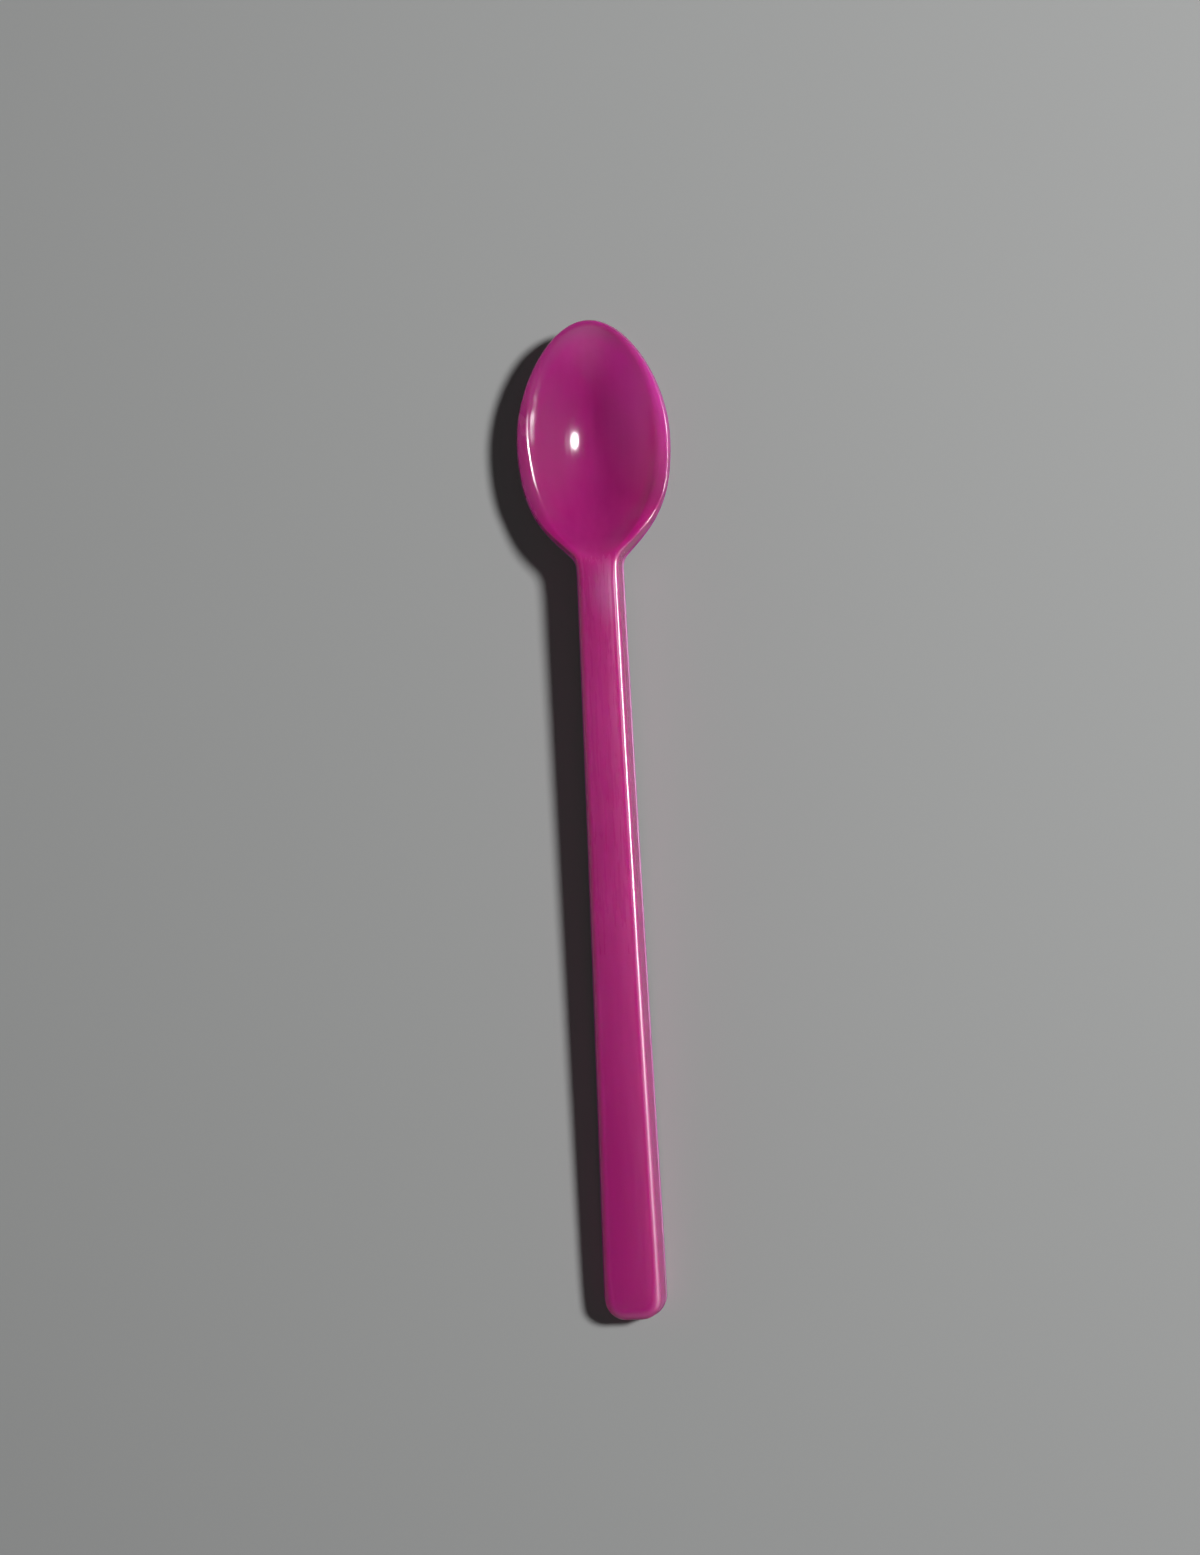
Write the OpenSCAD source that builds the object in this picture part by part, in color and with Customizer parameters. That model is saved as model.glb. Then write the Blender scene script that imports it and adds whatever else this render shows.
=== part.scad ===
// Long dessert spoon, moulded in one piece of clear-tinted plastic.
// An egg-shaped bowl with a flat rim land runs through a short neck into a long handle
// that is an upturned channel: a thin crowned web with a side wall down each side and
// round the end. The spoon lies on the back of its bowl and on the handle's end.
// Frame: X across, Y from the handle's end to the bowl's tip, Z up from the table,
// with the origin at the middle of the length, on the table.

/* [Overall] */
// Length from the handle's end to the bowl's tip
overall_l = 150; // [120:1:190]

/* [Bowl] */
// Width over the rim at the widest place
bowl_w = 23.1; // [18:0.1:28]
// Length from the neck corners to the tip
bowl_l = 35.3; // [30:0.1:44]
// Height of the rim where it is lowest, along the middle of the bowl
rim_z = 6.5; // [4:0.1:7]
// Height of the rim at the tip
tip_z = 7.4; // [5:0.1:8.5]
// Length over which the rim slopes down from the neck corners to its lowest height
ramp_l = 8.2; // [6:0.1:12]
// Thickness of the bowl
bowl_wall = 1.1; // [0.8:0.05:1.5]
// Width of the land on top of the rim
rim_land = 1.8; // [1.3:0.05:2.2]
// Width of the land at the tip, where it is narrowest
tip_land = 0.65; // [0.5:0.05:1.2]
// Rounding of the rim's outer edge
rim_r = 0.25; // [0.2:0.05:0.4]
// Lean of the rim's outer side, outward toward the table
rim_lean = 13; // [5:1:18]
// Rounding where the land turns down into the bowl
hollow_r = 0.5; // [0.3:0.05:0.8]
// Drop of the rim's outer side below the thickness of the bowl
rim_lip = 0.3; // [0.1:0.05:0.6]

/* [Neck] */
// Width over the top of the neck
neck_w = 6.1; // [5:0.1:8]
// Height of the top of the neck
neck_z = 8.4; // [7:0.1:10]
// Angle that the bowl's shoulder makes with the handle
shoulder_angle = 45; // [38:1:54]
// Length of the rounded corner between shoulder and handle, along each
neck_run = 1.1; // [0.8:0.1:2.5]
// Length over which the end of the bowl's hollow is rounded into the top of the neck
crest_l = 3.6; // [2:0.1:6]

/* [Handle] */
// Width over the top near the end
handle_w = 8.5; // [6.8:0.1:11]
// Draw-in of each side at the middle of the handle
waist = 0.1; // [0:0.05:0.4]
// Height of the handle's end
end_z = 5.6; // [5:0.1:7]
// Height of the side walls at the neck
neck_wall_h = 5; // [3.2:0.1:5.5]
// Rise of the handle's arch over the straight line from neck to end
arch = 0.2; // [0:0.05:1]
// Thickness of the web
web_t = 1.2; // [0.9:0.05:1.6]
// Thickness of the side walls
side_t = 1; // [0.8:0.05:1.3]
// Lean of the side walls, outward toward the table
draft_angle = 5.5; // [1:0.5:6]
// Height of the crown across the top
crown = 0.25; // [0.05:0.05:0.5]
// Rounding of the long shoulders
shoulder_r = 0.75; // [0.5:0.05:1.2]
// Rounding of the top at the end
end_r = 1.8; // [1:0.05:1.9]
// Radius of the end's corners, seen from above
corner_r = 3.1; // [2.3:0.1:3.2]
// Height of the thicker foot along the lower edge
foot_h = 0.6; // [0.3:0.05:0.9]
// Step of the foot out from the side wall
foot_w = 0.15; // [0.05:0.05:0.3]
// Rounding inside the channel, between web and side walls
inner_r = 0.5; // [0.2:0.05:0.7]

/* [Hidden] */

// Height of the rim's outer side
rim_h = bowl_wall + rim_lip;
// Length over which the side walls fade round the bowl's shoulders
wall_fade_l = 10;
// Length over which the shoulders' rounding fades into the rim's, round the neck corner
round_fade_l = 7;
// Length over which the rim's land grows from the tip's width to its full width
land_fade_l = 24;
// Length of lower edge that lies flat on the table under the handle's end
rest_l = 6;
// Flat left beside the shoulders' rounding
shoulder_flat = 0.2;
// Distance from the end at which the ribs' fan springs from the spine
fan_l = 5.5;
// Distance from the end at which the ribs stand square to the handle
square_l = 13;

// How far a side that leans by an angle stands out from the plan, at a depth below a top
// that is rounded by r
function side_out(depth, r, angle) =
    tan(angle) * (depth - r * (1 - sin(angle))) - r * (1 - cos(angle));
rim_out = side_out(rim_h, rim_r, rim_lean);
end_out = side_out(end_z, end_r, draft_angle) + foot_w;

// Ends of the plan and the line where bowl meets neck
end_y = end_out - overall_l / 2;
tip_y = overall_l / 2 - rim_out;
neck_y = tip_y - bowl_l;
ramp_y = neck_y + ramp_l;

// Where the bowl is widest and where it lies lowest, as shares of its length from the tip
belly_share = 0.5;
low_share = 0.455;
belly_y = tip_y - belly_share * bowl_l;
low_y = tip_y - low_share * bowl_l;

// Pulls of the plan's curves, as shares of the stretch that each one crosses
tip_pull_shares = [0.52, 0.45];
shoulder_pull_shares = [0.615, 0.325];
corner_pull_share = 0.55;
// Share of the ribs' fan that is evenly spaced along the spine
fan_even_share = 0.2;
// Power of the bowl's hollow from its spine to its rim, where 2 is a parabola
hollow_power = 1.8;
// Power by which the rim rises toward the tip, where 2 is a parabola
tip_power = 3;

// Numbers of ribs along each stretch of the plan
end_steps = 2;
corner_steps = 6;
near_steps = 5;
side_steps = 14;
neck_steps = 6;
shoulder_steps = 12;
tip_steps = 14;

// Numbers of steps along each stretch of a rib
hollow_steps = 8;
lip_steps = 3;
round_steps = 5;
under_steps = 6;

// Blends and curves
function mix(a, b, t) = a + (b - a) * t;
function bowed(a, b, bow, t) = mix(a, b, t) + 4 * bow * t * (1 - t);
function ease(t) = let (c = max(0, min(1, t))) c * c * (3 - 2 * c);
function soft_min(a, b, k) = let (h = max(k - abs(a - b), 0)) min(a, b) - h * h / (4 * k);
function unit(v) = v / norm(v);
function line_run(a, b, n, bow = [0, 0]) = [for (i = [1:n]) bowed(a, b, bow, i / n)];
function quadratic(p, t) = let (u = 1 - t) u * u * p[0] + 2 * u * t * p[1] + t * t * p[2];
function cubic(p, t) = let (u = 1 - t)
    u * u * u * p[0] + 3 * u * u * t * p[1] + 3 * u * t * t * p[2] + t * t * t * p[3];
function cubic_run(p, n) = [for (i = [1:n]) cubic(p, i / n)];

// Plan of the right half, from the middle of the handle's end round to the bowl's tip.
// It is the outer side of the rim and of the side walls, just under their rounded top.
end_half = handle_w / 2;
neck_half = neck_w / 2;
bowl_half = bowl_w / 2 - rim_out;
corner_along = end_half - corner_r;
end_mid = [0, end_y];
end_corner = [corner_along, end_y];
corner_centre = end_corner + [0, corner_r];
side_start = corner_centre + [corner_r, 0];
neck_corner = [neck_half, neck_y];
side_dir = unit(neck_corner - side_start);
shoulder_dir = [sin(shoulder_angle), cos(shoulder_angle)];
square_start = side_start + (square_l - corner_r) * side_dir;
neck_start = neck_corner - neck_run * side_dir;
shoulder_start = neck_corner + neck_run * shoulder_dir;
belly = [bowl_half, belly_y];
tip = [0, tip_y];

corner_arc = [
    for (i = [1:corner_steps])
        let (a = 90 * i / corner_steps) corner_centre + corner_r * [sin(a), -cos(a)]
];
neck_curve = [
    neck_start,
    neck_start + corner_pull_share * neck_run * side_dir,
    shoulder_start - corner_pull_share * neck_run * shoulder_dir,
    shoulder_start
];
shoulder_curve = [
    shoulder_start,
    shoulder_start + shoulder_pull_shares[1] * (belly_y - neck_y) * shoulder_dir,
    belly - [0, shoulder_pull_shares[0] * (belly_y - neck_y)],
    belly
];
tip_curve = [
    belly,
    belly + [0, tip_pull_shares[1] * (tip_y - belly_y)],
    tip + [tip_pull_shares[0] * bowl_half, 0],
    tip
];
plan = concat(
    [end_mid],
    line_run(end_mid, end_corner, end_steps),
    corner_arc,
    line_run(side_start, square_start, near_steps),
    line_run(square_start, neck_start, side_steps, [-waist, 0]),
    cubic_run(neck_curve, neck_steps),
    cubic_run(shoulder_curve, shoulder_steps),
    cubic_run(tip_curve, tip_steps)
);
last = len(plan) - 1;
square_index = end_steps + corner_steps + near_steps;
neck_index = square_index + side_steps;

// Outward direction at each point of the plan
function outward(i) =
    i == 0 ? [0, -1] :
    i == last ? [0, 1] :
    let (d = unit(unit(plan[i + 1] - plan[i]) + unit(plan[i] - plan[i - 1]))) [d[1], -d[0]];

// Length along the plan from its first point
function lengths(i = 0, before = 0) =
    i > last ? [] :
    let (now = i == 0 ? 0 : before + norm(plan[i] - plan[i - 1]))
        concat([now], lengths(i + 1, now));
along = lengths();

// Place on the spine from which each rib springs. The ribs stand square to the handle and
// fan out round its end and in the bowl.
function fan_run(share, reach, run) =
    let (power = (run / reach - fan_even_share) / (1 - fan_even_share))
        reach * mix(pow(share, power), share, fan_even_share);
function spine_y(i) =
    let (
        fan_y = end_y + fan_l,
        end_run = along[square_index],
        bowl_run = along[last] - along[neck_index]
    )
    i <= square_index ?
        fan_y + fan_run(along[i] / end_run, square_start[1] - fan_y, end_run) :
    i <= neck_index ? plan[i][1] :
    low_y - fan_run((along[last] - along[i]) / bowl_run, low_y - neck_start[1], bowl_run);

// Heights along the spoon, seen from the side: the rim and shoulders, then the spine
function rim_line(y) =
    let (rise = pow(max(0, (y - ramp_y) / (tip_y - ramp_y)), tip_power))
        mix(neck_z, rim_z, ease((y - neck_y) / ramp_l)) + (tip_z - rim_z) * rise;
function handle_line(y) = bowed(neck_z, end_z, arch, (neck_y - y) / (neck_y - end_y));
function edge_z(y) = y > neck_y ? rim_line(y) : handle_line(y);
function hollow_z(y) =
    mix(bowl_wall, neck_z + crown, pow((low_y - y) / (low_y - neck_y), 2));
hollow_rise = 2 * (neck_z + crown - bowl_wall) / (low_y - neck_y);
function spine_z(y) = soft_min(hollow_z(y), edge_z(y) + crown, crest_l * hollow_rise / 2);
function spine_slope(y) = (spine_z(y + neck_run) - spine_z(y - neck_run)) / (2 * neck_run);

// Shares by which a rib belongs to the bowl, has the rim's rounding and belongs to the end
function bowl_share(y) = ease((y - neck_y + neck_run) / wall_fade_l);
function round_share(y) = ease((y - neck_y + round_fade_l / 2) / round_fade_l);
function end_share(i) = 1 - ease((along[i] - corner_along) / (3 * corner_r));

// Height of the side walls, which fade into the rim's outer side round the bowl's shoulders
foot_rise = (neck_z - neck_wall_h) / (neck_y - end_y - rest_l);
function foot_z(y) = foot_rise * max(0, min(y, neck_y) - end_y - rest_l);
function side_h(y) = mix(edge_z(y) - foot_z(y), rim_h, bowl_share(y));

// Points of a curve that leaves the spine with the spine's own slope and meets an edge.
// It stops at a share of the way, where a rounding takes over.
function at_height(place, z) = [place[0], place[1], z];
function dish(spring, spring_z, edge, top, share, steps, power) = [
    let (rise = spine_slope(spring[1]) * (edge[1] - spring[1]))
        for (j = [1:steps])
            let (
                s = share * j / steps,
                z = spring_z + rise * s + (top - spring_z - rise) * pow(s, power)
            )
                at_height(mix(spring, edge, s), z)
];

// One rib: its points from the spine over the top, down the side, in under the lower edge,
// up the inner side and back to the spine underneath
function rib(i) =
    let (
        place = plan[i],
        out = outward(i),
        in_bowl = bowl_share(place[1]),
        top = edge_z(place[1]),
        height = side_h(place[1]),
        spring_y = spine_y(i),
        spring = [0, spring_y],
        spring_z = spine_z(spring_y),
        wall = mix(web_t, bowl_wall, in_bowl),
        power = mix(2, hollow_power, in_bowl),
        angle = mix(draft_angle, rim_lean, in_bowl),

        // Top: the hollow or crown, its rounding into the land, and the outer rounding
        at_end = end_share(i),
        edge_r = mix(mix(shoulder_r, end_r, at_end), rim_r, round_share(place[1])),
        flat_land = mix(tip_land, rim_land, ease((tip_y - place[1]) / land_fade_l)),
        land = mix(edge_r + shoulder_flat, flat_land, in_bowl),
        land_edge = place - land * out,
        turn_in = mix(shoulder_flat, hollow_r, in_bowl),
        turn_out = (land - edge_r) / 2,
        top_share = 1 - turn_in / norm(land_edge - spring),
        hollow = dish(spring, spring_z, land_edge, top, top_share, hollow_steps, power),
        turn = [
            hollow[hollow_steps - 1],
            at_height(land_edge, top),
            at_height(land_edge + turn_out * out, top)
        ],
        rounding = [
            for (j = [0:round_steps])
                let (a = (90 - angle) * j / round_steps)
                    at_height(place - edge_r * (1 - sin(a)) * out, top - edge_r * (1 - cos(a)))
        ],

        // Side: the wall, its foot and the lower edge
        foot = min(foot_h, (height - edge_r) / 2),
        foot_out = mix(foot_w, 0, in_bowl),
        foot_turn = min(foot_w, foot / 2),
        side = [
            for (s = [[height - foot, 0], [height - foot + foot_turn, foot_out], [height, foot_out]])
                at_height(place + (side_out(s[0], edge_r, angle) + s[1]) * out, top - s[0])
        ],
        thick = mix(side_t, rim_land / 2, in_bowl),

        // Inside: the inner side of the wall, its rounding into the web, and the underside
        root_r = min(inner_r, (height - wall) / 2),
        root_edge = place + (side_out(wall, edge_r, angle) - thick) * out,
        under_share = 1 - root_r / norm(root_edge - spring),
        under_z = spring_z - wall * sqrt(1 + pow(spine_slope(spring_y), 2)),
        under = dish(spring, under_z, root_edge, top - wall, under_share, under_steps, power),
        inner = [
            for (depth = [height, wall + root_r])
                at_height(place + (side_out(depth, edge_r, angle) - thick) * out, top - depth)
        ],
        root = [inner[1], at_height(root_edge, top - wall), under[under_steps - 1]]
    )
    concat(
        [at_height(spring, spring_z)],
        hollow,
        [for (j = [1:lip_steps]) quadratic(turn, j / lip_steps)],
        rounding,
        side,
        inner,
        [for (j = [1:lip_steps - 1]) quadratic(root, j / lip_steps)],
        [for (j = [under_steps - 1:-1:0]) under[j]],
        [at_height(spring, under_z)]
    );

// The skin: the right half's ribs and their mirror images, as columns of points that meet
// along the spine, above and below
ribs = [for (i = [0:last]) rib(i)];
column_len = len(ribs[0]) - 2;
columns = 2 * last;
function rib_of(k) = k <= last ? k : columns - k;
function side_of(k) = k <= last ? 1 : -1;
skin_points = concat(
    [
        for (k = [0:columns - 1])
            for (j = [1:column_len])
                let (p = ribs[rib_of(k)][j]) [side_of(k) * p[0], p[1], p[2]]
    ],
    [for (i = [0:last]) ribs[i][0]],
    [for (i = [0:last]) ribs[i][column_len + 1]]
);
function point_at(k, j) = (k % columns) * column_len + j - 1;
function top_spine(k) = columns * column_len + rib_of(k % columns);
function low_spine(k) = top_spine(k) + last + 1;
function two_faces(a, b, c, d) = [[a, b, c], [a, c, d]];
skin_faces = [
    for (k = [0:columns - 1])
        each concat(
            two_faces(top_spine(k), top_spine(k + 1), point_at(k + 1, 1), point_at(k, 1)),
            [
                for (j = [1:column_len - 1])
                    each two_faces(
                        point_at(k, j), point_at(k + 1, j),
                        point_at(k + 1, j + 1), point_at(k, j + 1)
                    )
            ],
            two_faces(
                point_at(k, column_len), point_at(k + 1, column_len),
                low_spine(k + 1), low_spine(k)
            )
        )
];

module spoon() {
    color("mediumvioletred")
        polyhedron(points = skin_points, faces = skin_faces, convexity = 10);
}

spoon();
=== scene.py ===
import math

import bpy
import numpy as np
from mathutils import Matrix, Vector


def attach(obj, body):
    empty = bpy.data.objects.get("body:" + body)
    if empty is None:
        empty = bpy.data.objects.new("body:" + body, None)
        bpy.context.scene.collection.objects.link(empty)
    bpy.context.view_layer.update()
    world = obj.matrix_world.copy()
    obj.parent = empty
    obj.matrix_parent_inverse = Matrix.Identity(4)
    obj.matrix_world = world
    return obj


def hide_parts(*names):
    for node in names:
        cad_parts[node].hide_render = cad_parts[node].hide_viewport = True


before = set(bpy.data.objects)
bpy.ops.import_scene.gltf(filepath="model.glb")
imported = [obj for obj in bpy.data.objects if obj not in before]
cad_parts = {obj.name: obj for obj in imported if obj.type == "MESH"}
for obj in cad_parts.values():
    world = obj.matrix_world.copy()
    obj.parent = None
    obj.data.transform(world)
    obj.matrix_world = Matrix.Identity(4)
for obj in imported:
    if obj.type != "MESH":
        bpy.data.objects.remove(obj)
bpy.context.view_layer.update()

MM = 0.001

# Sizes in millimetres, as in the part's source
OVERALL_L = 150.0
BOWL_W = 23.1
BOWL_L = 35.3
RIM_Z = 6.5
TIP_Z = 7.4
BOWL_WALL = 1.1
RIM_LAND = 1.8
TIP_LAND = 0.65
RIM_R = 0.25
RIM_LEAN = math.radians(13)
HOLLOW_R = 0.5
RIM_LIP = 0.3
NECK_W = 6.1
NECK_Z = 8.4
SHOULDER_ANGLE = math.radians(45)
NECK_RUN = 1.1
RAMP_L = 8.2
CREST_L = 3.6
HANDLE_W = 8.5
WAIST = 0.1
END_Z = 5.6
NECK_WALL_H = 5.0
ARCH = 0.2
WEB_T = 1.2
SIDE_T = 1.0
DRAFT = math.radians(5.5)
CROWN = 0.25
END_R = 1.8
CORNER_R = 3.1
FOOT_H = 0.6
FOOT_W = 0.15
INNER_R = 0.5
WALL_FADE_L = 10.0
ROUND_FADE_L = 7.0
LAND_FADE_L = 24.0
REST_L = 6.0
SHOULDER_FLAT = 0.2
FAN_L = 5.5
SQUARE_L = 13.0
BELLY_SHARE = 0.5
LOW_SHARE = 0.455
TIP_PULLS = (0.52, 0.45)
SHOULDER_PULLS = (0.615, 0.325)
CORNER_PULL = 0.55
FAN_EVEN = 0.2
HOLLOW_POWER = 1.8
TIP_POWER = 3

# Roundings of the lower edges, which the part's source leaves sharp, and the fuller curve
# by which the long shoulders run down into the side walls
EDGE_RUN = 0.13
FOOT_RUN = 0.07
SHOULDER_IN = 0.95
SHOULDER_DROP = 1.5

# Numbers of steps, far finer than in the part's source
END_STEPS = 6
CORNER_STEPS = 22
NEAR_STEPS = 16
SIDE_STEPS = 72
NECK_STEPS = 18
SHOULDER_STEPS = 34
TIP_STEPS = 44
HOLLOW_STEPS = 26
LIP_STEPS = 7
ROUND_STEPS = 11
EDGE_STEPS = 5
UNDER_STEPS = 18

# Where points stand on the straight runs of a rib, as shares of the run
FLAT_STOPS = (0.15, 0.85)
WALL_STOPS = (0.04, 0.35, 0.65)
INNER_STOPS = (0.1, 0.5, 0.9)
LONGEST_TURN = 0.45

# Tints of the plastic. The handle's are lighter and greener than the bowl's, as painted light and
# sheen, and less green towards the end; the rim's are painted shade, the second one for the lit
# right side
BOWL_TINTS = ((0.38, 0.012, 0.163, 1), (0.42, 0.017, 0.183, 1))
HANDLE_SHEEN_TINTS = ((0.47, 0.024, 0.193, 1), (0.54, 0.037, 0.228, 1))
END_TINT = (0.45, 0.012, 0.185, 1)
RIM_SHADE_TINTS = ((0.33, 0.04, 0.17, 1), (0.2, 0.045, 0.105, 1))

# Painted patches, painted light on the bowl's right inner wall, painted shade on its left one and a
# painted sheen on the crest of the neck: scale and shift that bring the patch to a unit ball, size
# of its even core, tint
RIGHT_WALL_LIGHT = ((0.12, 0.07, 0.1), (-1.0, -4.3, -0.5), 0.2, (0.6, 0.064, 0.3, 1))
LEFT_WALL_SHADE = ((0.14, 0.07, 0.1), (1.1, -4.1, -0.5), 0.2, (0.34, 0.036, 0.166, 1))
CREST_SHEEN = ((0.34, 0.18, 0.1), (-0.4, -6.2, -0.8), 0.3, (0.5, 0.08, 0.26, 1))

# Noises in the surface: cells per millimetre across and along, shift, detail and roughness
STREAKS = (0.8, 0.03, (0, 0, 0), 2.0, 0.5)
RUBS = (2.4, 0.12, (7, 3, 0), 4.0, 0.6)
WEAR = (0.35, 0.22, (3, 1, 0), 1.0, 0.5)
WAVES = (0.3, 0.075, (2, 5, 1), 1.5, 0.5)
RIPPLES = (0.9, 0.14, (4, 2, 6), 1.0, 0.5)
SCRATCHES = (5.5, 0.16, (1, 8, 4), 4.0, 0.6)
DRIFT_SCALE = 0.09
DRIFT_RUN = 3.0

# Heights of the noises in millimetres
WAVE_H = 0.05
RIPPLE_H = 0.032
SCRATCH_H = 0.0012

# Ranges over which one look takes over from another: places are in millimetres
TINT_RANGE = (0.35, 0.65)
HANDLE_START_Y = (43.5, 40.5)
END_TINT_Y = (-12.0, -50.0)
# Where the rim's painted shade lies, in the band below the rim's top, and how deep it goes
RIM_START_Y = (44.5, 50.0)
RIM_BAND = (-1.2, -0.2)
RIM_SHADE_SHARE = 0.8
LIT_RIM_SHADE_X = (-2.0, 7.0)
FOOT_BAND = (1.1, 0.7)
SHOULDER_X = (2.4, 3.2)
DULL_SHOULDER_Y = (-2.0, -36.0)
WORN_RIM_X = (-8.0, -9.2)
WEAR_RANGE = (0.42, 0.6)
RUB_RANGE = (0.4, 0.75)

# Roughness of the clean surfaces and what dull and worn places add
HAZY = (0.25, 0.37)
POLISHED = (0.11, 0.19)
DULL_ROUGHNESS = 0.24
DULL_END = 0.5
DULL_SHOULDER = 0.25
WORN_ROUGHNESS = 0.22

# Light that passes through the plastic
GLOW_RADIUS = (1.0, 0.12, 0.75)
GLOW_SCALE = 8 * MM
PLASTIC_IOR = 1.46

# The studio's soft light: where it lies, by direction, and how strong it is
LOW_SKY = (0.75, 0.1)
LEFT_SKY = (0.3, -0.8)
FRONT_SKY = (-0.5, -0.9)
LOW_POWER = 3.0
LEFT_LIGHT = 1.15
ROUND_LIGHT = 0.05
WALL_POWER = 1.5
WALL_LIGHT = 1.5
RING_IN_GLOSS = 0.3
EVEN_LIGHT = 0.03
SEEN_LIGHT = 0.8

# Lamps, floor and camera, in metres and watts
KEY_PLACE = (0.575, 0.204, 0.701)
KEY_SIZE = 0.15
KEY_ENERGY = 8.8
STRIP_X = 0.9
STRIP_Z = 0.045
STRIP_LENGTH = 0.3
STRIP_HEIGHT = 0.04
FLOOR_HALF = 1.5
FLOOR_TINT = (0.37, 0.375, 0.372, 1)
FLOOR_ROUGHNESS = 0.9
CAMERA_PLACE = (0.03345, 0.00568, 0.39175)
CAMERA_TURN = (0.0008, 0.0898, -0.0464)
SENSOR_MM = 36.0
FOCAL_PIXELS = 2600
IMAGE_HEIGHT = 1555


def vec(*values):
    return np.array(values, dtype=float)


def unit(v):
    return v / np.linalg.norm(v)


def mix(a, b, t):
    return a + (b - a) * t


def ease(t):
    c = max(0.0, min(1.0, t))
    return c * c * (3 - 2 * c)


def soft_min(a, b, k):
    h = max(k - abs(a - b), 0)
    return min(a, b) - h * h / (4 * k)


def quadratic(a, b, c, t):
    return (1 - t) ** 2 * a + 2 * t * (1 - t) * b + t * t * c


def cubic_run(p, n):
    points = []
    for i in range(1, n + 1):
        t = i / n
        u = 1 - t
        points.append(u ** 3 * p[0] + 3 * u * u * t * p[1] + 3 * u * t * t * p[2] + t ** 3 * p[3])
    return points


def line_run(a, b, n, bow=0.0):
    points = []
    for i in range(1, n + 1):
        t = i / n
        points.append(mix(a, b, t) + vec(4 * bow * t * (1 - t), 0))
    return points


def turn_end(r, drop, draft):
    """The angle at which a rounding r wide and drop high has come down to the side's draft."""
    return math.atan(r / (drop * math.tan(draft)))


def side_out(depth, r, drop, draft):
    """How far the drafted side stands out of the top's edge at a depth."""
    a = turn_end(r, drop, draft)
    return math.tan(draft) * (depth - drop * (1 - math.cos(a))) - r * (1 - math.sin(a))


RIM_H = BOWL_WALL + RIM_LIP
RIM_OUT = side_out(RIM_H, RIM_R, RIM_R, RIM_LEAN)
END_OUT = side_out(END_Z, END_R, END_R, DRAFT) + FOOT_W
END_Y = END_OUT - OVERALL_L / 2
TIP_Y = OVERALL_L / 2 - RIM_OUT
NECK_Y = TIP_Y - BOWL_L
RAMP_Y = NECK_Y + RAMP_L
BELLY_Y = TIP_Y - BELLY_SHARE * BOWL_L
LOW_Y = TIP_Y - LOW_SHARE * BOWL_L


# Plan of the right half, from the middle of the handle's end round to the bowl's tip
def make_plan():
    bowl_half = BOWL_W / 2 - RIM_OUT
    end_mid = vec(0, END_Y)
    end_corner = vec(HANDLE_W / 2 - CORNER_R, END_Y)
    centre = end_corner + vec(0, CORNER_R)
    side_start = centre + vec(CORNER_R, 0)
    neck_corner = vec(NECK_W / 2, NECK_Y)
    side_dir = unit(neck_corner - side_start)
    shoulder_dir = vec(math.sin(SHOULDER_ANGLE), math.cos(SHOULDER_ANGLE))
    square_start = side_start + (SQUARE_L - CORNER_R) * side_dir
    neck_start = neck_corner - NECK_RUN * side_dir
    shoulder_start = neck_corner + NECK_RUN * shoulder_dir
    belly = vec(bowl_half, BELLY_Y)
    tip = vec(0, TIP_Y)
    pull = CORNER_PULL * NECK_RUN
    corner = []
    for i in range(1, CORNER_STEPS + 1):
        a = math.pi / 2 * i / CORNER_STEPS
        corner.append(centre + CORNER_R * vec(math.sin(a), -math.cos(a)))
    neck = [neck_start, neck_start + pull * side_dir,
            shoulder_start - pull * shoulder_dir, shoulder_start]
    shoulder = [shoulder_start,
                shoulder_start + SHOULDER_PULLS[1] * (BELLY_Y - NECK_Y) * shoulder_dir,
                belly - vec(0, SHOULDER_PULLS[0] * (BELLY_Y - NECK_Y)),
                belly]
    top = [belly, belly + vec(0, TIP_PULLS[1] * (TIP_Y - BELLY_Y)),
           tip + vec(TIP_PULLS[0] * bowl_half, 0), tip]
    points = [end_mid]
    points += line_run(end_mid, end_corner, END_STEPS)
    points += corner
    points += line_run(side_start, square_start, NEAR_STEPS)
    points += line_run(square_start, neck_start, SIDE_STEPS, -WAIST)
    points += cubic_run(neck, NECK_STEPS)
    points += cubic_run(shoulder, SHOULDER_STEPS)
    points += cubic_run(top, TIP_STEPS)
    return np.array(points)


PLAN = make_plan()
LAST = len(PLAN) - 1
SQUARE_INDEX = END_STEPS + CORNER_STEPS + NEAR_STEPS
NECK_INDEX = SQUARE_INDEX + SIDE_STEPS
CORNER_ALONG = HANDLE_W / 2 - CORNER_R
END_ROUND_L = 3 * CORNER_R
ALONG = np.concatenate([[0], np.cumsum(np.linalg.norm(np.diff(PLAN, axis=0), axis=1))])


def outward(i):
    if i == 0:
        return vec(0, -1)
    if i == LAST:
        return vec(0, 1)
    d = unit(unit(PLAN[i + 1] - PLAN[i]) + unit(PLAN[i] - PLAN[i - 1]))
    return vec(d[1], -d[0])


def fan_run(share, reach, run):
    power = (run / reach - FAN_EVEN) / (1 - FAN_EVEN)
    return reach * mix(share ** power, share, FAN_EVEN)


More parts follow.
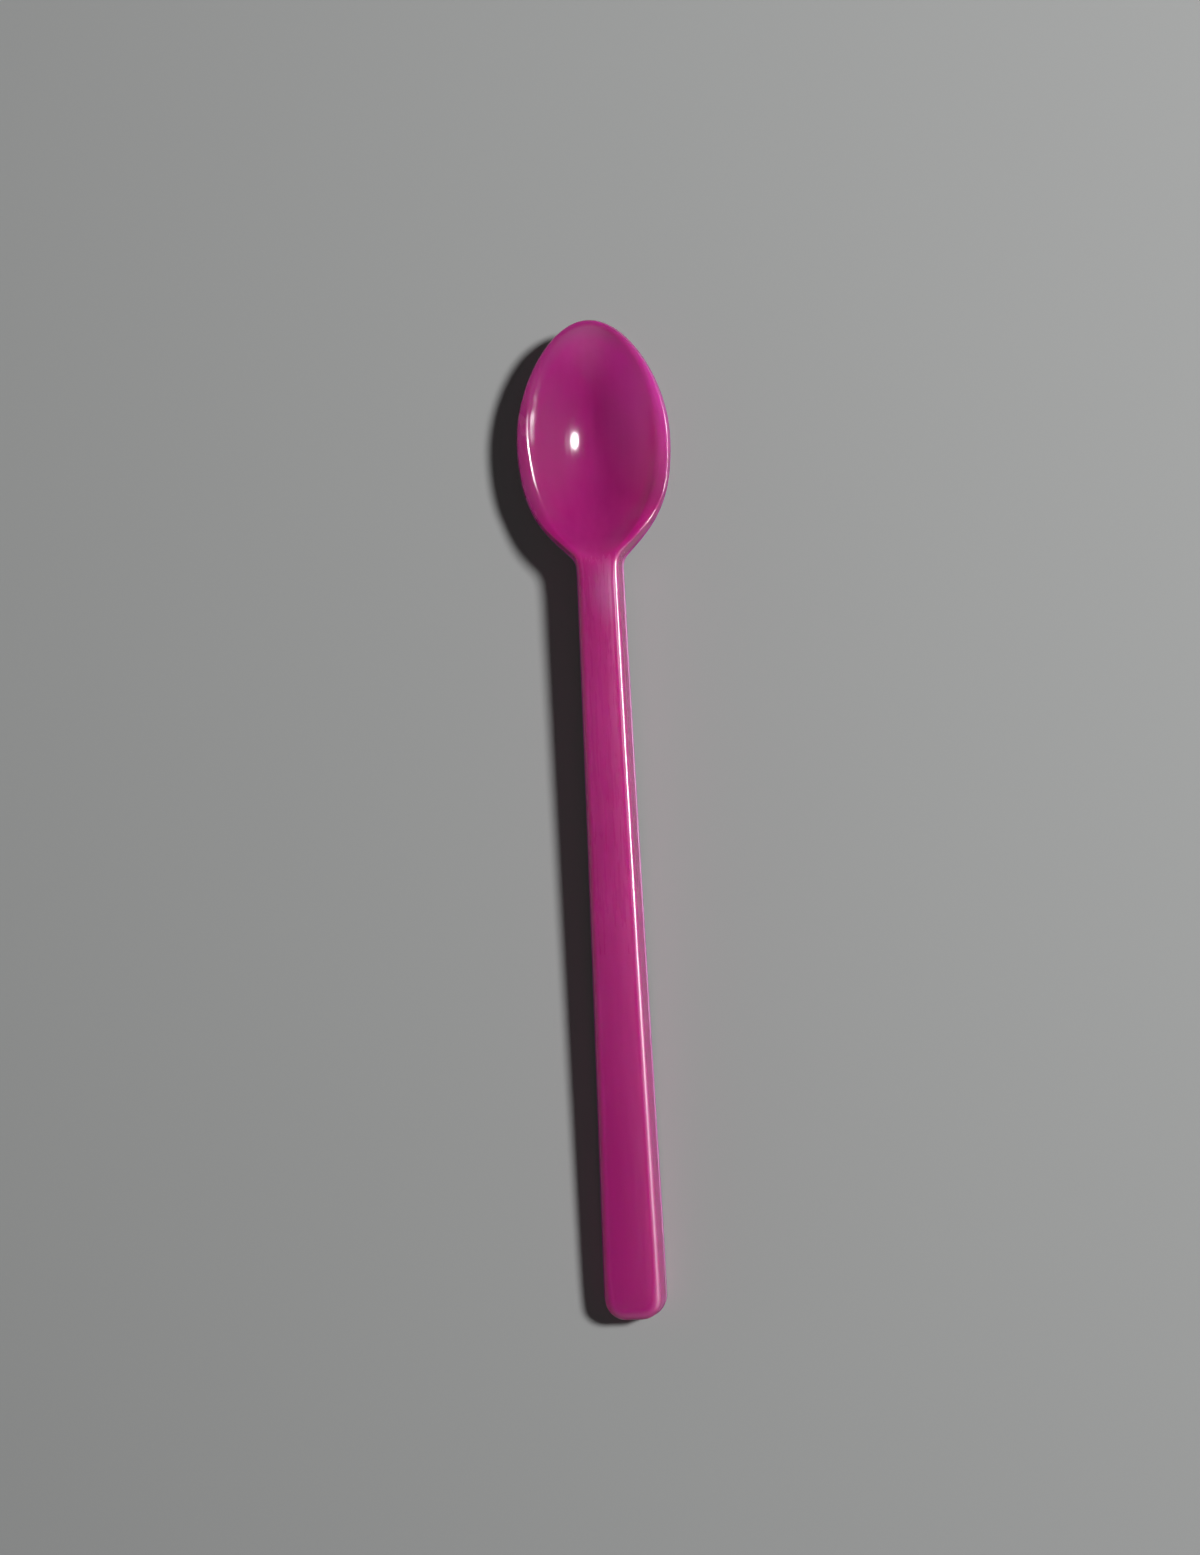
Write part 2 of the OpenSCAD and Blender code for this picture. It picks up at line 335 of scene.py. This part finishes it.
def spine_y(i):
    """Where on the middle line the rib of plan point i springs."""
    fan_y = END_Y + FAN_L
    end_run = ALONG[SQUARE_INDEX]
    bowl_run = ALONG[LAST] - ALONG[NECK_INDEX]
    if i <= SQUARE_INDEX:
        reach = PLAN[SQUARE_INDEX][1] - fan_y
        return fan_y + fan_run(ALONG[i] / end_run, reach, end_run)
    if i <= NECK_INDEX:
        return PLAN[i][1]
    reach = LOW_Y - PLAN[NECK_INDEX][1]
    return LOW_Y - fan_run((ALONG[LAST] - ALONG[i]) / bowl_run, reach, bowl_run)


# Heights along the spoon, seen from the side
def rim_line(y):
    rise = max(0.0, (y - RAMP_Y) / (TIP_Y - RAMP_Y)) ** TIP_POWER
    return mix(NECK_Z, RIM_Z, ease((y - NECK_Y) / RAMP_L)) + (TIP_Z - RIM_Z) * rise


def handle_line(y):
    t = (NECK_Y - y) / (NECK_Y - END_Y)
    return mix(NECK_Z, END_Z, t) + 4 * ARCH * t * (1 - t)


HOLLOW_RISE = 2 * (NECK_Z + CROWN - BOWL_WALL) / (LOW_Y - NECK_Y)
FOOT_RISE = (NECK_Z - NECK_WALL_H) / (NECK_Y - END_Y - REST_L)


def edge_z(y):
    return rim_line(y) if y > NECK_Y else handle_line(y)


def spine_z(y):
    hollow = mix(BOWL_WALL, NECK_Z + CROWN, ((LOW_Y - y) / (LOW_Y - NECK_Y)) ** 2)
    return soft_min(hollow, edge_z(y) + CROWN, CREST_L * HOLLOW_RISE / 2)


def spine_slope(y):
    return (spine_z(y + NECK_RUN) - spine_z(y - NECK_RUN)) / (2 * NECK_RUN)


def bowl_share(y):
    return ease((y - NECK_Y + NECK_RUN) / WALL_FADE_L)


def round_share(y):
    return ease((y - NECK_Y + ROUND_FADE_L / 2) / ROUND_FADE_L)


def side_height(y):
    foot_z = FOOT_RISE * max(0, min(y, NECK_Y) - END_Y - REST_L)
    return mix(edge_z(y) - foot_z, RIM_H, bowl_share(y))


def edge_rounding(i):
    """How far in and how far down the rounding between top and side reaches."""
    at_end = 1 - ease((ALONG[i] - CORNER_ALONG) / END_ROUND_L)
    in_bowl = round_share(PLAN[i][1])
    return (mix(mix(SHOULDER_IN, END_R, at_end), RIM_R, in_bowl),
            mix(mix(SHOULDER_DROP, END_R, at_end), RIM_R, in_bowl))


def lift(place, z):
    return vec(place[0], place[1], z)


def dish(spring, spring_z, edge, top, share, steps, power):
    rise = spine_slope(spring[1]) * (edge[1] - spring[1])
    points = []
    for j in range(1, steps + 1):
        s = share * j / steps
        z = spring_z + rise * s + (top - spring_z - rise) * s ** power
        points.append(lift(mix(spring, edge, s), z))
    return points


def rounded(points, runs, steps):
    """The inner corners of a line of points, each turned into a short curve."""
    result = []
    for i in range(1, len(points) - 1):
        before, here, after = points[i - 1], points[i], points[i + 1]
        back = min(runs[i - 1], LONGEST_TURN * np.linalg.norm(before - here))
        on = min(runs[i - 1], LONGEST_TURN * np.linalg.norm(after - here))
        start = here + back * unit(before - here)
        stop = here + on * unit(after - here)
        result += [quadratic(start, here, stop, j / steps) for j in range(steps + 1)]
    return result


def top_points(i, spring, spring_z):
    """From beside the spine over the hollow, the land or flat and the rounding to the side."""
    place = PLAN[i]
    out = outward(i)
    in_bowl = bowl_share(place[1])
    top = edge_z(place[1])
    edge_r, drop = edge_rounding(i)
    rim_land = mix(TIP_LAND, RIM_LAND, ease((TIP_Y - place[1]) / LAND_FADE_L))
    land = mix(edge_r + SHOULDER_FLAT, rim_land, in_bowl)
    land_edge = place - land * out
    turn_in = mix(SHOULDER_FLAT, HOLLOW_R, in_bowl)
    flat_start = land_edge + (land - edge_r) / 2 * out
    flat_stop = place - edge_r * out
    share = 1 - turn_in / np.linalg.norm(land_edge - spring)
    power = mix(2, HOLLOW_POWER, in_bowl)
    hollow = dish(spring, spring_z, land_edge, top, share, HOLLOW_STEPS, power)
    a, b, c = hollow[-1], lift(land_edge, top), lift(flat_start, top)
    lip = [quadratic(a, b, c, j / LIP_STEPS) for j in range(1, LIP_STEPS + 1)]
    flat = [lift(mix(flat_start, flat_stop, t), top) for t in FLAT_STOPS]
    rounding = []
    for j in range(ROUND_STEPS + 1):
        a = turn_end(edge_r, drop, mix(DRAFT, RIM_LEAN, in_bowl)) * j / ROUND_STEPS
        at = place - edge_r * (1 - math.sin(a)) * out
        rounding.append(lift(at, top - drop * (1 - math.cos(a))))
    return hollow + lip + flat + rounding


def low_points(i, spring, under_z, start):
    """From the rounding's end down the side, over the foot and back underneath to the spine."""
    place = PLAN[i]
    out = outward(i)
    in_bowl = bowl_share(place[1])
    top = edge_z(place[1])
    height = side_height(place[1])
    wall = mix(WEB_T, BOWL_WALL, in_bowl)
    draft = mix(DRAFT, RIM_LEAN, in_bowl)
    thick = mix(SIDE_T, RIM_LAND / 2, in_bowl)
    edge_r, drop = edge_rounding(i)
    foot = min(FOOT_H, (height - drop) / 2)
    foot_out = mix(FOOT_W, 0, in_bowl)
    foot_turn = min(FOOT_W, foot / 2)

    def beside(depth, step):
        return lift(place + (side_out(depth, edge_r, drop, draft) + step) * out, top - depth)

    root_r = min(INNER_R, (height - wall) / 2)
    root_edge = place + (side_out(wall, edge_r, drop, draft) - thick) * out
    share = 1 - root_r / np.linalg.norm(root_edge - spring)
    power = mix(2, HOLLOW_POWER, in_bowl)
    under = dish(spring, under_z, root_edge, top - wall, share, UNDER_STEPS, power)
    root = [beside(wall + root_r, -thick), lift(root_edge, top - wall), under[-1]]
    corners = [start,
               beside(height - foot, 0),
               beside(height - foot + foot_turn, foot_out),
               beside(height, foot_out),
               beside(height, -thick),
               root[0]]
    wall_run = [mix(corners[0], corners[1], t) for t in WALL_STOPS]
    edges = rounded(corners, [FOOT_RUN, FOOT_RUN, EDGE_RUN, EDGE_RUN], EDGE_STEPS)
    inner_run = [mix(edges[-1], root[0], t) for t in INNER_STOPS]
    turn = [quadratic(*root, j / LIP_STEPS) for j in range(LIP_STEPS)]
    return wall_run + edges + inner_run + turn + under[::-1]


def rib(i):
    """Points from the spine over the top, down the side and back underneath."""
    y = spine_y(i)
    spring = vec(0, y)
    spring_z = spine_z(y)
    wall = mix(WEB_T, BOWL_WALL, bowl_share(PLAN[i][1]))
    under_z = spring_z - wall * math.sqrt(1 + spine_slope(y) ** 2)
    over = top_points(i, spring, spring_z)
    below = low_points(i, spring, under_z, over[-1])
    return [lift(spring, spring_z)] + over + below + [lift(spring, under_z)]


# The skin: the right half's ribs and their mirror images
def make_spoon():
    ribs = np.array([rib(i) for i in range(LAST + 1)]) * MM
    right = ribs[:, 1:-1]
    left = right[LAST - 1:0:-1] * vec(-1, 1, 1)
    length = right.shape[1]
    columns = 2 * LAST
    points = np.concatenate([right, left]).reshape(-1, 3)
    top = len(points)
    low = top + LAST + 1
    points = np.concatenate([points, ribs[:, 0], ribs[:, -1]])
    faces = []
    for k in range(columns):
        n = (k + 1) % columns
        spine_k = k if k <= LAST else columns - k
        spine_n = n if n <= LAST else columns - n
        faces.append((top + spine_k, k * length, n * length, top + spine_n))
        for j in range(length - 1):
            faces.append((k * length + j, k * length + j + 1, n * length + j + 1, n * length + j))
        end = length - 1
        faces.append((k * length + end, low + spine_k, low + spine_n, n * length + end))
    mesh = bpy.data.meshes.new("moulded_spoon")
    mesh.from_pydata(points.tolist(), [], faces)
    mesh.validate()
    mesh.polygons.foreach_set("use_smooth", [True] * len(mesh.polygons))
    mesh.update()
    piece = bpy.data.objects.new("moulded_spoon", mesh)
    bpy.context.scene.collection.objects.link(piece)
    return piece


class Nodes:
    """Short names for building a node tree."""

    def __init__(self, tree):
        self.tree = tree
        tree.nodes.clear()

    def add(self, kind, **values):
        node = self.tree.nodes.new(kind)
        for name, value in values.items():
            setattr(node, name, value)
        return node

    def join(self, source, target):
        self.tree.links.new(source, target)

    def put(self, socket, value):
        if hasattr(value, "is_output"):
            self.join(value, socket)
        else:
            socket.default_value = value

    def math(self, kind, a, b=0.0):
        node = self.add("ShaderNodeMath", operation=kind)
        self.put(node.inputs[0], a)
        self.put(node.inputs[1], b)
        return node.outputs[0]

    def plus(self, a, b):
        return self.math("ADD", a, b)

    def minus(self, a, b):
        return self.math("SUBTRACT", a, b)

    def times(self, a, b):
        return self.math("MULTIPLY", a, b)

    def power(self, a, b):
        return self.math("POWER", a, b)

    def blend(self, share, on, off):
        """on where the share is 1, off where it is 0."""
        return self.plus(self.times(share, on), self.times(self.minus(1.0, share), off))

    def axes(self, place):
        node = self.add("ShaderNodeSeparateXYZ")
        self.join(place, node.inputs[0])
        return node.outputs

    def scaled(self, place, scale, shift=(0, 0, 0)):
        node = self.add("ShaderNodeMapping")
        self.join(place, node.inputs["Vector"])
        node.inputs["Scale"].default_value = scale
        node.inputs["Location"].default_value = shift
        return node.outputs[0]

    def noise(self, place, scale, detail, roughness=0.5):
        node = self.add("ShaderNodeTexNoise")
        self.join(place, node.inputs["Vector"])
        node.inputs["Scale"].default_value = scale
        node.inputs["Detail"].default_value = detail
        node.inputs["Roughness"].default_value = roughness
        return node.outputs["Fac"]

    def grain(self, place, kind):
        """A noise that is drawn out along the spoon."""
        across, along, shift, detail, roughness = kind
        return self.noise(self.scaled(place, (across, along, across), shift), 1.0, detail, roughness)

    def spread(self, value, source, target=(0.0, 1.0)):
        """The source range brought to the target range, and held at its ends."""
        node = self.add("ShaderNodeMapRange")
        self.put(node.inputs["Value"], value)
        node.inputs["From Min"].default_value = source[0]
        node.inputs["From Max"].default_value = source[1]
        node.inputs["To Min"].default_value = target[0]
        node.inputs["To Max"].default_value = target[1]
        return node.outputs["Result"]

    def colours(self, factor, a, b):
        node = self.add("ShaderNodeMix", data_type="RGBA")
        self.put(node.inputs["Factor"], factor)
        self.put(node.inputs["A"], a)
        self.put(node.inputs["B"], b)
        return node.outputs["Result"]

    def patched(self, colour, place, patch):
        """The colour with a patch of painted light, shade or sheen that fades out at its edge."""
        scale, shift, core, painted_tint = patch
        node = self.add("ShaderNodeVectorMath", operation="LENGTH")
        self.join(self.scaled(place, scale, shift), node.inputs[0])
        return self.colours(self.spread(node.outputs["Value"], (1.0, core)), colour, painted_tint)


def new_material(name):
    material = bpy.data.materials.new(name)
    material.use_nodes = True
    nodes = Nodes(material.node_tree)
    out = nodes.add("ShaderNodeOutputMaterial")
    return material, nodes, out


def plastic_colour(n, place, drift, on_handle, near_end):
    """Drifts and flow streaks in the tint, a handle painted lighter as painted light and sheen,
    painted shade on the rim, painted light and shade on the bowl's walls and a painted sheen on the
    crest of the neck.
    """
    x, y, z = n.axes(place)
    streaks = n.grain(place, STREAKS)
    tint = n.spread(n.plus(n.times(drift, 0.5), n.times(streaks, 0.5)), TINT_RANGE)
    # The handle painted lighter and greener than the bowl: painted light and sheen, less green near
    # the end
    handle_sheen_tint = n.colours(near_end, n.colours(tint, *HANDLE_SHEEN_TINTS), END_TINT)
    colour = n.colours(on_handle, n.colours(tint, *BOWL_TINTS), handle_sheen_tint)

    # Painted shade along the rim's band, deepest on the key-lit right side
    tip_rise = n.power(n.spread(y, (RAMP_Y, TIP_Y)), TIP_POWER)
    rim_height = n.plus(n.times(tip_rise, TIP_Z - RIM_Z), RIM_Z)
    rim = n.spread(n.minus(z, rim_height), RIM_BAND, (0.0, RIM_SHADE_SHARE))
    rim = n.times(rim, n.spread(y, RIM_START_Y))
    colour = n.colours(rim, colour, n.colours(n.spread(x, LIT_RIM_SHADE_X), *RIM_SHADE_TINTS))
    # Painted light on the right inner wall of the bowl, painted shade on the left one and a painted
    # sheen on the crest of the neck
    for patch in (RIGHT_WALL_LIGHT, LEFT_WALL_SHADE, CREST_SHEEN):
        colour = n.patched(colour, place, patch)
    return colour


def plastic_roughness(n, place, on_handle, near_end):
    """Gloss with rubbed streaks, dull on the foot and towards the much handled end."""
    x, y, z = n.axes(place)
    foot_z = n.times(n.math("MAXIMUM", n.minus(y, END_Y + REST_L), 0.0), FOOT_RISE)
    near_foot = n.spread(n.minus(z, foot_z), FOOT_BAND)
    dull = n.math("MAXIMUM", near_foot, n.times(near_end, DULL_END))
    shoulder = n.spread(n.math("ABSOLUTE", x), SHOULDER_X, (0.0, DULL_SHOULDER))
    dull = n.plus(dull, n.times(shoulder, n.spread(y, DULL_SHOULDER_Y)))

    rubs = n.grain(place, RUBS)
    hazy = n.plus(n.spread(rubs, RUB_RANGE, HAZY), n.times(dull, DULL_ROUGHNESS))
    worn = n.spread(n.grain(place, WEAR), WEAR_RANGE, (0.0, WORN_ROUGHNESS))
    worn = n.times(worn, n.spread(x, WORN_RIM_X))
    polished = n.plus(n.spread(rubs, RUB_RANGE, POLISHED), worn)
    return n.blend(on_handle, hazy, polished)


def plastic_normal(n, place, on_handle):
    """Slow waves of the moulding, ripples along the handle and fine scratches."""
    waves = n.times(n.grain(place, WAVES), WAVE_H)
    scratches = n.times(n.grain(place, SCRATCHES), SCRATCH_H)
    ripples = n.times(n.times(n.grain(place, RIPPLES), on_handle), RIPPLE_H)
    height = n.plus(n.plus(waves, scratches), ripples)
    bump = n.add("ShaderNodeBump")
    bump.inputs["Strength"].default_value = 1.0
    bump.inputs["Distance"].default_value = MM
    n.join(height, bump.inputs["Height"])
    return bump.outputs["Normal"]


def tinted_plastic():
    material, n, out = new_material("tinted_plastic")
    shader = n.add("ShaderNodeBsdfPrincipled")
    place = n.scaled(n.add("ShaderNodeTexCoord").outputs["Object"], (1 / MM, 1 / MM, 1 / MM))
    y = n.axes(place)["Y"]
    drift = n.noise(place, DRIFT_SCALE, 1.0)

    # Where the handle's hazy surface takes over from the bowl's polished one
    on_handle = n.spread(n.plus(y, n.times(drift, DRIFT_RUN)), HANDLE_START_Y)
    near_end = n.spread(y, END_TINT_Y)
    n.join(plastic_colour(n, place, drift, on_handle, near_end), shader.inputs["Base Color"])
    n.join(plastic_roughness(n, place, on_handle, near_end), shader.inputs["Roughness"])
    n.join(plastic_normal(n, place, on_handle), shader.inputs["Normal"])

    shader.subsurface_method = "RANDOM_WALK"
    shader.inputs["Subsurface Weight"].default_value = 1.0
    shader.inputs["Subsurface Radius"].default_value = GLOW_RADIUS
    shader.inputs["Subsurface Scale"].default_value = GLOW_SCALE
    shader.inputs["IOR"].default_value = PLASTIC_IOR
    n.join(shader.outputs[0], out.inputs["Surface"])
    return material


def floor_material():
    material, n, out = new_material("pale_floor")
    shader = n.add("ShaderNodeBsdfPrincipled")
    shader.inputs["Base Color"].default_value = FLOOR_TINT
    shader.inputs["Roughness"].default_value = FLOOR_ROUGHNESS
    shader.inputs["Specular IOR Level"].default_value = 0.0
    n.join(shader.outputs[0], out.inputs["Surface"])
    return material


def make_floor():
    h = FLOOR_HALF
    mesh = bpy.data.meshes.new("floor")
    mesh.from_pydata([(-h, -h, 0), (h, -h, 0), (h, h, 0), (-h, h, 0)], [], [(0, 1, 2, 3)])
    floor = bpy.data.objects.new("floor", mesh)
    bpy.context.scene.collection.objects.link(floor)
    mesh.materials.append(floor_material())


def make_world():
    world = bpy.data.worlds.new("studio")
    bpy.context.scene.world = world
    world.use_nodes = True
    n = Nodes(world.node_tree)
    out = n.add("ShaderNodeOutputWorld")
    x, y, z = n.axes(n.add("ShaderNodeTexCoord").outputs["Generated"])
    low = n.power(n.spread(z, LOW_SKY), LOW_POWER)
    ring = n.times(low, n.plus(n.times(n.spread(x, LEFT_SKY), LEFT_LIGHT), ROUND_LIGHT))

    # Gloss shows a pale wall beyond the handle's end and less of the soft light from the left
    wall = n.times(n.power(n.spread(y, FRONT_SKY), WALL_POWER), WALL_LIGHT)
    shown = n.plus(wall, n.times(ring, RING_IN_GLOSS))
    rays = n.add("ShaderNodeLightPath").outputs
    strength = n.plus(n.blend(rays["Is Glossy Ray"], shown, ring), EVEN_LIGHT)
    strength = n.blend(rays["Is Camera Ray"], SEEN_LIGHT, strength)
    background = n.add("ShaderNodeBackground")
    n.join(strength, background.inputs["Strength"])
    n.join(background.outputs[0], out.inputs["Surface"])


def make_lamp(name, shape, place, size, energy):
    data = bpy.data.lights.new(name, "AREA")
    data.shape = shape
    data.size = size
    data.energy = energy
    lamp = bpy.data.objects.new(name, data)
    lamp.location = place
    lamp.rotation_euler = Vector(place).to_track_quat("Z", "Y").to_euler()
    bpy.context.scene.collection.objects.link(lamp)
    return lamp


def make_strip(name, y, energy):
    """A long, low strip light that only gloss shows, as a window's edge does."""
    strip = make_lamp(name, "ELLIPSE", (STRIP_X, y, STRIP_Z), STRIP_LENGTH, energy)
    strip.data.size_y = STRIP_HEIGHT
    strip.visible_diffuse = False
    strip.visible_camera = False


def make_camera():
    data = bpy.data.cameras.new("camera")
    data.sensor_width = SENSOR_MM
    data.lens = SENSOR_MM * FOCAL_PIXELS / IMAGE_HEIGHT
    data.clip_start = 0.01
    data.clip_end = 20.0
    camera = bpy.data.objects.new("camera", data)
    turn = Vector(CAMERA_TURN)
    camera.matrix_world = (Matrix.Translation(CAMERA_PLACE)
                           @ Matrix.Rotation(turn.length, 4, turn.normalized()))
    bpy.context.scene.collection.objects.link(camera)
    bpy.context.scene.camera = camera


bpy.context.scene.view_settings.view_transform = "Standard"
make_camera()
make_world()
make_lamp("key", "DISK", KEY_PLACE, KEY_SIZE, KEY_ENERGY)
make_strip("handle_strip", -0.03, 17.0)
make_strip("neck_strip", -0.62, 5.0)
make_floor()

spoon = make_spoon()
spoon.data.materials.append(tinted_plastic())
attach(spoon, "root")
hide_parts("spoon")
